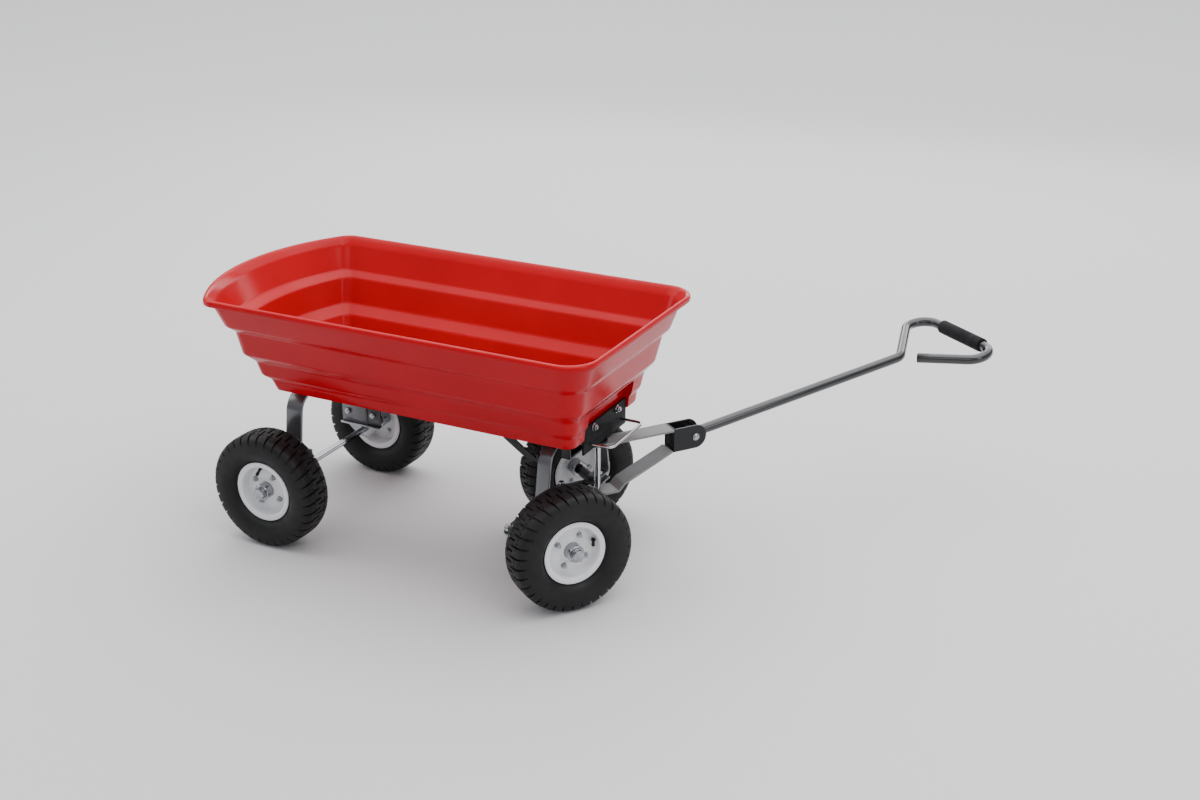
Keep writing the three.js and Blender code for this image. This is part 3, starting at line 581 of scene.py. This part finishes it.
def build_wheel(key):
    matrix, body = WHEELS[key], f"wheel_{key}"
    piece(f"tyre_treaded_{key}", tyre_mesh(), matrix, RUBBER, body, [f"tyre_{key}"], angle=32)
    piece(f"rim_pressed_{key}", lathe(RIM_SECTION, 96), matrix, ENAMEL, body, [f"rim_{key}"])
    bm = lathe(HUB_SECTION, 64)
    piece(f"hub_tube_{key}", bm, matrix, ZINC, body, [f"hub_{key}"])
    bm = lathe([(7.9, 36.6), (13.6, 36.6), (13.8, 37), (13.8, 38.2), (13.4, 38.6), (7.9, 38.6)], 48)
    hexagon(bm, "Y", (0, 0, 0), 38.7, 46.6, 24)
    piece(f"axle_nut_hex_{key}", bm, matrix, ZINC, body, [f"axle_nut_{key}"])
    bm = bmesh.new()
    for k in range(4):
        a = math.radians(BOLT_TURN[key] + 90 * k)
        x, z = BOLT_CIRCLE * math.cos(a), BOLT_CIRCLE * math.sin(a)
        washer = [(0.01, 11.4), (6.4, 11.4), (6.6, 11.8), (6.6, 12.8), (6.2, 13.2), (0.01, 13.2)]
        lathe(washer, 24, bm, False, "Y", (x, 0, z))
        hexagon(bm, "Y", (x, 0, z), 13.2, 18.2, 10)
        helix_ribs(bm, "Y", (x, 0, z), 17, 22.5, 3.1, 1.2, 0.35, 16)
        hexagon(bm, "Y", (x, 0, z), 8.6, 3.2, 10)
        rod(bm, "Y", (x, 0, z), 1.2, 4, 3, 16)
    piece(f"rim_bolts_{key}", bm, matrix, ZINC, body)
    a = math.radians(BOLT_TURN[key] + 45)
    base = Vector((49.5 * math.cos(a), 15, 49.5 * math.sin(a)))
    tip = Vector((40 * math.cos(a), 33, 40 * math.sin(a)))
    along = (tip - base).normalized()
    across = along.cross(Vector((0, 1, 0))).normalized()
    other = along.cross(across)
    rings = []
    stem = ((-0.1, 4.6), (0.05, 4.6), (0.12, 3.4), (0.55, 3.0), (0.57, 3.4), (0.6, 3.6),
            (0.95, 3.5), (1.0, 2.8))
    for t, r in stem:
        centre = base + (tip - base) * t
        rings.append([centre + across * u + other * v for u, v in circle(r, 20)])
    piece(f"valve_stem_{key}", rings_to(bmesh.new(), rings), matrix, STEM, body)


for key in WHEELS:
    build_wheel(key)


# ---------- frame ----------
TIE_ARM = 88  # kingpin axis to a tie rod stud
ARCH_TOP = 309.7
REAR_ARCH = {"thick": 8, "wide": 40, "foot": 150, "foot_y": 132.3}
FRONT_ARCH = {"thick": 6, "wide": 30, "foot": 153.3}
REAR_AXLE = {"z": 130, "radius": 7.5, "shank": 249, "tip": 261}


def build_frame():
    for name, _ in SIDES:
        refined(f"rail_{name}", f"rail_rounded_{name}", BLACK, 1.2)
        refined(f"hinge_lug_{name}", f"hinge_lug_rounded_{name}", BLACK, 0.8)
        refined(f"axle_saddle_{name}", f"axle_saddle_pressed_{name}", ZINC, 0.9)
        refined(f"hinge_strap_{name}", f"hinge_strap_rounded_{name}", ZINC, 0.6)
        refined(f"front_brace_{name}", f"front_brace_rounded_{name}", BLACK, 0.7)
        refined(f"knuckle_{name}", f"knuckle_forged_{name}", BLACK, 0.9)
    refined("rear_crossmember", "rear_crossmember_rounded", BLACK, 1.0)
    refined("front_crossmember", "front_crossmember_rounded", BLACK, 0.9)
    refined("front_beam", "front_beam_rounded", BLACK, 0.9)
    refined("hinge_pin", "hinge_pin_turned", ZINC, 0.6)
    refined("steering_arm", "steering_arm_rounded", BLACK, 0.8)
    refined("tie_rod", "tie_rod_rounded", ZINC, 0.7)
    refined("drag_link", "drag_link_rounded", ZINC, 0.7)
    refined("latch_bracket", "latch_bracket_rounded", SATIN, 0.8)
    # nuts above the tie rod and under the knuckle's arm, on the arm's stud
    for name, _ in SIDES:
        bm = bmesh.new()
        hexagon(bm, "Z", (-TIE_ARM, 0, 0), 150.8, 156, 12)
        hexagon(bm, "Z", (-TIE_ARM, 0, 0), 137.8, 132.6, 12)
        body = frame["nodes"][f"knuckle_{name}"]["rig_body"]
        piece(f"tie_stud_nuts_{name}", bm, KNUCKLE[name], ZINC, body)

    # arches: flat bar with rolled edges, and foot plates under the rear one
    thick, wide, foot, foot_y = (REAR_ARCH[k] for k in ("thick", "wide", "foot", "foot_y"))
    z = ARCH_TOP - thick / 2
    corners = [(0, -foot_y, foot), (0, -111.2, z), (0, 111.2, z), (0, foot_y, foot)]
    bm = sweep(bmesh.new(), rounded(corners, [40, 40], 14), round_rect(thick, wide, 1.3), (1, 0, 0))
    for s in (-1, 1):
        y0, y1 = sorted((s * (foot_y - 3), s * (foot_y + 3)))
        block(bm, (-52, y0, foot), (52, y1, foot + 46), 1.0)
    piece("rear_arch_bar", bm, CART, GUNMETAL, "frame", ["rear_axle_bracket"])

    kx = KINGPIN["left"].x
    thick, wide, foot = (FRONT_ARCH[k] for k in ("thick", "wide", "foot"))
    half = [(116.4, ARCH_TOP - thick / 2), (145, foot), (98, foot)]
    corners = [(kx, -y, h) for y, h in half[::-1]] + [(kx, y, h) for y, h in half]
    line = rounded(corners, [8, 40, 40, 8], 12)
    bm = sweep(bmesh.new(), line, round_rect(thick, wide, 1.1), (1, 0, 0))
    piece("front_arch_bar", bm, CART, GUNMETAL, "frame", ["front_axle_bracket"])

    # rear axle: bright rod with threaded ends
    bm = bmesh.new()
    centre, radius = (0, 0, REAR_AXLE["z"]), REAR_AXLE["radius"]
    shank, tip = REAR_AXLE["shank"], REAR_AXLE["tip"]
    rod(bm, "Y", centre, -shank, shank, radius, 48)
    for a, b in ((-tip, 3 - shank), (shank - 3, tip)):
        helix_ribs(bm, "Y", centre, a, b, radius - 0.05, 1.75, 0.7, 40)
    piece("rear_axle_rod", bm, CART, CHROME, "frame", ["rear_axle"])

    bm = bmesh.new()
    rod(bm, "Z", (PIVOT.x, 0, 0), 126, 293, 7, 40)
    hexagon(bm, "Z", (PIVOT.x, 0, 0), 292.6, 299.4, 19)
    hexagon(bm, "Z", (PIVOT.x, 0, 0), 126.8, 135.6, 19)
    helix_ribs(bm, "Z", (PIVOT.x, 0, 0), 124.7, 135, 6.9, 1.5, 0.6, 32)
    piece("tongue_pivot_rod", bm, CART, CHROME, "frame", ["tongue_pivot_bolt"])

    for name, side in SIDES:
        k = KINGPIN[name]
        bm = bmesh.new()
        rod(bm, "Z", (k.x, k.y, 0), 83, 158, 7, 32)
        hexagon(bm, "Z", (k.x, k.y, 0), 156.8, 163.4, 19)
        hexagon(bm, "Z", (k.x, k.y, 0), 83.8, 91.6, 19)
        helix_ribs(bm, "Z", (k.x, k.y, 0), 81.8, 90, 6.9, 1.5, 0.6, 28)
        piece(f"kingpin_bolt_{name}", bm, CART, ZINC, "frame", [f"kingpin_{name}"])
        for end in ("rear", "front"):
            node = f"saddle_bolt_{name}_{end}"
            m = local(middle(node))
            lo, hi = (local(p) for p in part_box(node))
            inner, outer = (lo.y, hi.y) if side > 0 else (hi.y, lo.y)
            bm = bmesh.new()
            rod(bm, "Y", (m.x, 0, m.z), min(inner, outer), max(inner, outer), 3.9, 20)
            washer = [(0.01, 5), (8.6, 5), (8.8, 4.4), (8.6, 3.8), (0.01, 3.8)]
            lathe([(r, outer - side * o) for r, o in washer], 28, bm, False, "Y", (m.x, 0, m.z))
            hexagon(bm, "Y", (m.x, 0, m.z), outer - side * 3.8, outer + side * 1.2, 13)
            hexagon(bm, "Y", (m.x, 0, m.z), inner + side * 6.9, inner + side * 1.5, 13)
            piece(f"saddle_bolt_hex_{name}_{end}", bm, CART, ZINC, "frame", [node])


build_frame()


# ---------- latch ----------
WIRE_RADIUS = 3
COIL = {"radius": 5.1, "wire": 0.8, "turns": 6, "steps": 18}
LATCH_FACE = 708.8  # where the washers sit on the bracket's front


def build_latch():
    loop = [local(p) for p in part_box("release_loop")]
    rear, front = loop[0].x, loop[1].x - WIRE_RADIUS
    half, z = loop[1].y - WIRE_RADIUS, (loop[0].z + loop[1].z) / 2
    line = rounded([(rear, -half, z), (front, -half, z), (front, half, z), (rear, half, z)], [13, 13], 14)
    bm = sweep(bmesh.new(), line, circle(WIRE_RADIUS, 20), (0, 0, 1))
    piece("release_wire", bm, CART, CHROME, "release", ["release_loop"])
    for name, side in SIDES:
        lo, hi = (local(p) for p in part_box(f"release_spring_{name}"))
        centre = (lo + hi) / 2
        radius, wire, turns, steps = (COIL[k] for k in ("radius", "wire", "turns", "steps"))
        path = []
        for i in range(turns * steps + 1):
            a = 2 * math.pi * i / steps
            x = lo.x + wire + (hi.x - lo.x - 2 * wire) * i / (turns * steps)
            path.append(Vector((x, centre.y + radius * math.cos(a), centre.z + radius * math.sin(a))))
        rings = []
        for p, along in zip(path, headings(path)):
            out = (p - Vector((p.x, centre.y, centre.z))).normalized()
            other = along.cross(out).normalized()
            rings.append([p + out * u + other * v for u, v in circle(wire, 8)])
        bm = rings_to(bmesh.new(), rings)
        piece(f"release_coil_{name}", bm, CART, ZINC, "tub", [f"release_spring_{name}"])

        lo, hi = (local(p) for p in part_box(f"latch_bolt_{name}"))
        y, z0 = (lo.y + hi.y) / 2, (lo.z + hi.z) / 2
        bm = bmesh.new()
        rod(bm, "X", (0, y, z0), lo.x + 3, hi.x, 3.9, 20)
        washer = [(0.01, 0), (8.4, 0), (8.6, 0.5), (8.4, 1.4), (0.01, 1.4)]
        lathe([(r, LATCH_FACE + o) for r, o in washer], 28, bm, False, "X", (0, y, z0))
        hexagon(bm, "X", (0, y, z0), LATCH_FACE + 1.4, LATCH_FACE + 7, 12)
        dome = [(6.9, lo.x + 4)] + [(6.9 * math.cos(t), lo.x + 3 - 3 * math.sin(t))
                                    for t in (0, 0.3, 0.6, 0.9, 1.2, 1.5)]
        lathe(dome, 28, bm, False, "X", (0, y, z0))
        piece(f"latch_bolt_hex_{name}", bm, CART, ZINC, "tub", [f"latch_bolt_{name}"])


build_latch()


# ---------- tongue and handle ----------
# upper and lower are the heights of the straps' middle planes; back is the clevis's rear face
STRAP = {"half": 22, "thick": 5, "lower": 175.5, "upper": 287.5}
CLEVIS = {"back": 172.5, "pin": 226, "z": 264, "half": 26.5, "side": 20.6, "sheet": 4}
TUBE_RADIUS = 11
LOOP = {"shaft": 552, "depth": 170, "flare": math.radians(48.5), "bend": 41, "stop": 25}
GRIP = {"start": -78, "end": 63, "radius": 16}


def build_tongue():
    def strap(name, node, corners, bends):
        line = rounded([(x, 0, z) for x, z in corners], bends, 8)
        bm = sweep(bmesh.new(), line, round_rect(STRAP["thick"], 2 * STRAP["half"], 0.9), (0, 1, 0))
        tail_z = corners[0][1]
        eye = [(7.4, -2.5), (21.2, -2.5), (22, -1.6), (22, 1.6), (21.2, 2.5), (7.4, 2.5)]
        lathe([(r, tail_z + o) for r, o in eye], 64, bm, True, "Z")
        piece(name, bm, TONGUE, GREY, "tongue", [node])
    upper, lower = STRAP["upper"], STRAP["lower"]
    strap("tongue_strap_upper_bar", "tongue_strap_upper", [(9, upper), (172.1, upper)], [])
    bent = [(9, lower), (41, lower), (54, lower + 14), (169.5, 240)]
    strap("tongue_strap_lower_bar", "tongue_strap_lower", bent, [6, 10])

    bm = bmesh.new()
    pin, z, half, back, sheet = (CLEVIS[k] for k in ("pin", "z", "half", "back", "sheet"))
    side = CLEVIS["side"]
    turns = [math.pi * k / 40 for k in range(41)]
    nose = [(pin + half * math.sin(t), z + half * math.cos(t)) for t in turns]
    outline = nose + [(back, z - half), (back, z + half)]
    for y0, y1 in ((-side, sheet - side), (side - sheet, side)):
        plate(bm, outline, y0, y1, "Y", 0.8)
    block(bm, (back, -20.2, z - half), (back + sheet, 20.2, z + half), 0.8)
    piece("clevis_plates", bm, TONGUE, BLACK, "tongue", ["clevis"])

    bm = bmesh.new()
    rod(bm, "Y", (pin, 0, z), -21, 21, 6, 32)
    for s in (-1, 1):
        section = [(7.8, s * 20.9), (8, s * 21.3), (8, s * 22.6), (7.6, s * 23), (6.5, s * 23)]
        section += [(6.5 * math.cos(t), s * (23 + 3.6 * math.sin(t)))
                    for t in (0.25, 0.5, 0.75, 1.0, 1.25, 1.45)]
        lathe(section, 40, bm, False, "Y", (pin, 0, z))
    piece("clevis_pin_domed", bm, TONGUE, ZINC, "tongue", ["clevis_pin"])


def build_handle():
    bm = lathe([(6.3, -16.3), (13.2, -16.3), (14, -15.5), (14, 15.5), (13.2, 16.3), (6.3, 16.3)], 56)
    piece("handle_sleeve_turned", bm, HANDLE, TUBE, "handle", ["handle_sleeve"])
    shaft, depth, flare, bend, stop = (LOOP[k] for k in ("shaft", "depth", "flare", "bend", "stop"))
    reach = depth * math.tan(flare)
    corners = [(14.4, 0, 0), (shaft, 0, 0), (shaft + depth, reach, 0), (shaft + depth, -reach, 0),
               (shaft + stop, -stop * math.tan(flare) - 3, 0)]
    line = rounded(corners, [30, bend, bend], 22)
    bm = sweep(bmesh.new(), line, circle(TUBE_RADIUS, 40), (0, 0, 1))
    # the cut end is open: an inset wall and a short bore
    end = max(bm.faces, key=lambda f: len(f.verts) if f.calc_center_median().y < -5 else 0)
    direction = (line[-1] - line[-2]).normalized()
    bmesh.ops.inset_individual(bm, faces=[end], thickness=1.6)
    for v in end.verts:
        v.co -= direction * 0.01
    hole = bmesh.ops.extrude_discrete_faces(bm, faces=[end])["faces"][0]
    for v in hole.verts:
        v.co -= direction * 26
    piece("handle_tube_bent", bm, HANDLE, TUBE, "handle", ["handle_tube"])

    x = shaft + depth
    start, stop, r = GRIP["start"], GRIP["end"], GRIP["radius"]
    length = stop - start - 3.2
    section = [(TUBE_RADIUS + 0.4, start), (r - 0.8, start), (r - 0.2, start + 0.6)]
    section += [(r, start + 1.6 + i * length / 56) for i in range(57)]
    section += [(r - 0.2, stop - 0.6), (r - 0.8, stop), (TUBE_RADIUS + 0.4, stop)]
    bm = lathe(section, 64, axis="Y", shift=(x, 0, 0))
    grip = piece("handle_grip_foam", bm, HANDLE, FOAM, "handle", ["handle_grip"])


build_tongue()
build_handle()


# ---------- stage, light, camera ----------
def area_light(name, place, aim, size, power):
    data = bpy.data.lights.new(name, "AREA")
    data.shape = "RECTANGLE"
    data.size, data.size_y = size
    data.energy = power
    obj = bpy.data.objects.new(name, data)
    obj.location = place
    obj.rotation_mode = "QUATERNION"
    obj.rotation_quaternion = (Vector(aim) - Vector(place)).to_track_quat("-Z", "Y")
    bpy.context.scene.collection.objects.link(obj)


def build_stage():
    bm = bmesh.new()
    bmesh.ops.create_grid(bm, x_segments=1, y_segments=1, size=30)
    data = bpy.data.meshes.new("floor")
    bm.to_mesh(data)
    bm.free()
    floor = bpy.data.objects.new("floor", data)
    bpy.context.scene.collection.objects.link(floor)
    mat, tree, bsdf = shader("floor_paper", (0.62, 0.62, 0.625), 0.7, specular=0.2)
    data.materials.append(mat)
    world = bpy.data.worlds.new("studio")
    bpy.context.scene.world = world
    world.use_nodes = True
    world.node_tree.nodes["Background"].inputs["Color"].default_value = (0.93, 0.95, 1.0, 1)
    # the sky fades towards the horizon, so bright metal has something dark to mirror
    tree = world.node_tree
    coords = tree.nodes.new("ShaderNodeTexCoord")
    parts = tree.nodes.new("ShaderNodeSeparateXYZ")
    tree.links.new(coords.outputs["Generated"], parts.inputs["Vector"])
    sky = span(tree, parts.outputs["Z"], 0.34, 0.72, 0.05, 0.75)
    tree.links.new(sky, tree.nodes["Background"].inputs["Strength"])
    area_light("overhead", (0.2, 0.7, 4.4), (0.1, 0.1, 0), (5.5, 4.0), 110)
    area_light("ceiling", (-1.5, 5.0, 7.5), (-1.5, 5.0, 0), (18.0, 18.0), 1900)
    area_light("far_strip", (-0.4, 3.6, 1.7), (0.1, 0, 0.35), (4.5, 0.8), 40)
    area_light("left_panel", (-3.4, -1.3, 1.5), (-0.2, 0, 0.2), (1.0, 2.2), 14)
    area_light("front_panel", (3.2, -0.9, 1.6), (0.1, 0, 0.25), (1.0, 1.8), 14)
    area_light("near_fill", (0.9, -3.6, 2.6), (0.1, 0, 0.2), (2.4, 1.0), 16)


def build_camera():
    data = bpy.data.cameras.new("camera")
    data.lens, data.sensor_width = 49.48, 36
    data.clip_end = 100
    cam = bpy.data.objects.new("camera", data)
    cam.location = CART @ Vector((2116.8, -2804.5, 1680.7))
    cam.rotation_euler = (math.radians(90 - 22.4), 0, math.radians(26.86))
    bpy.context.scene.collection.objects.link(cam)
    bpy.context.scene.camera = cam


build_stage()
build_camera()
